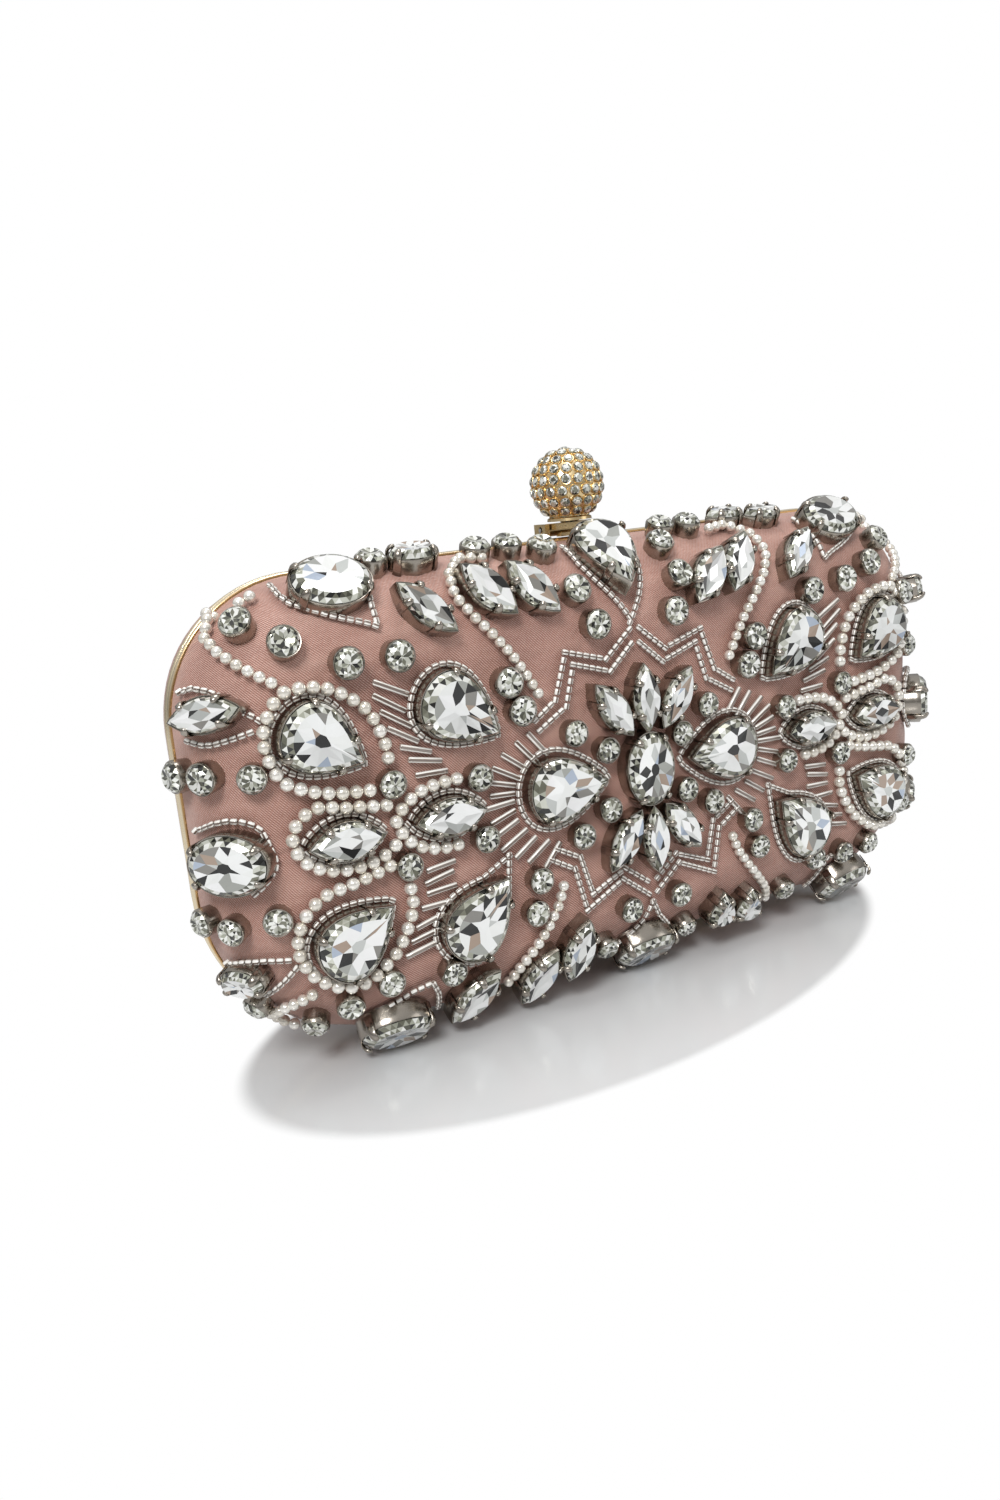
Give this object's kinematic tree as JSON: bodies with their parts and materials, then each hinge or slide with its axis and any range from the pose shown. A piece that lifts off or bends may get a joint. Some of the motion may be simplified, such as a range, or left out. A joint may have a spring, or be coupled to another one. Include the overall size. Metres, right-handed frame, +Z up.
{
  "type": "evening clutch bag",
  "caption": "Hard oblong clutch with rounded ends: two satin-covered shells in gold frames, hinged below, closed by a ball clasp, the front set with crystals and pearls.",
  "frame": {"origin": "the middle of the clutch's box at the level of the surface it stands on", "axes": "+Z up, +X along the clutch's length to the viewer's right as the beaded front is seen, and the beaded front faces -Y"},
  "size_m": [0.1968, 0.0456, 0.1186],
  "materials": {
    "gold": "polished pale gold plating",
    "satin": "dusty pink satin",
    "shell": "plain moulded shell",
    "lining": "plain satin lining",
    "crystal": "foiled clear crystal in a silver claw cup",
    "pearl": "cream imitation pearl",
    "beads": "silver-lined seed beads",
    "steel": "plain wire and pins"
  },
  "bodies": {
    "back_half": {"back_frame": "gold", "back_cover": "satin", "back_shell": "shell", "back_lining": "lining", "clasp_base": "gold", "clasp_pivot_pin": "steel", "clasp_spring": "steel", "hinge_leaf_back_left": "gold", "hinge_leaf_back_right": "gold", "hinge_pin_left": "steel", "hinge_pin_right": "steel"},
    "front_half": {"front_frame": "gold", "front_cover": "satin", "front_shell": "shell", "front_lining": "lining", "catch_plate": "gold", "hinge_leaf_front_left": "gold", "hinge_leaf_front_right": "gold", "centre_oval": "crystal", "teardrop_top_centre": "crystal", "foot_stone_centre": "crystal", "petal_upper_left": "crystal", "petal_upper_middle": "crystal", "petal_upper_right": "crystal", "petal_lower_left": "crystal", "petal_lower_middle": "crystal", "petal_lower_right": "crystal", "teardrop_centre_left": "crystal", "teardrop_centre_right": "crystal", "teardrop_upper_left": "crystal", "teardrop_upper_right": "crystal", "teardrop_lower_left": "crystal", "teardrop_lower_right": "crystal", "teardrop_outer_upper_left": "crystal", "teardrop_outer_upper_right": "crystal", "teardrop_outer_lower_left": "crystal", "teardrop_outer_lower_right": "crystal", "marquise_outer_left": "crystal", "marquise_outer_right": "crystal", "marquise_inner_left": "crystal", "marquise_inner_right": "crystal", "marquise_side_upper_left": "crystal", "marquise_side_upper_right": "crystal", "marquise_top_outer_left": "crystal", "marquise_top_outer_right": "crystal", "oval_top_left": "crystal", "oval_top_right": "crystal", "oval_side_left": "crystal", "oval_side_right": "crystal", "foot_stone_left": "crystal", "foot_stone_right": "crystal", "pearl_strand_upper_left": "pearl", "pearl_strand_upper_right": "pearl", "pearl_strand_lower_left": "pearl", "pearl_strand_lower_right": "pearl", "star_trim_upper": "beads", "star_trim_lower": "beads"},
    "clasp": {"clasp_ball": "gold", "clasp_lever": "gold"}
  },
  "joints": [
    {"name": "case_hinge", "type": "hinge", "parent": "back_half", "child": "front_half", "pos_m": [0, 0.0026, 0.0011], "axis": [1, 0, 0], "range_deg": [0, 70]},
    {"name": "clasp_tilt", "type": "hinge", "parent": "back_half", "child": "clasp", "pos_m": [0, 0.0048, 0.1008], "axis": [-1, 0, 0], "range_deg": [0, 12], "stiffness_Nm_per_rad": 0.12, "springref_deg": -8.59}
  ]
}
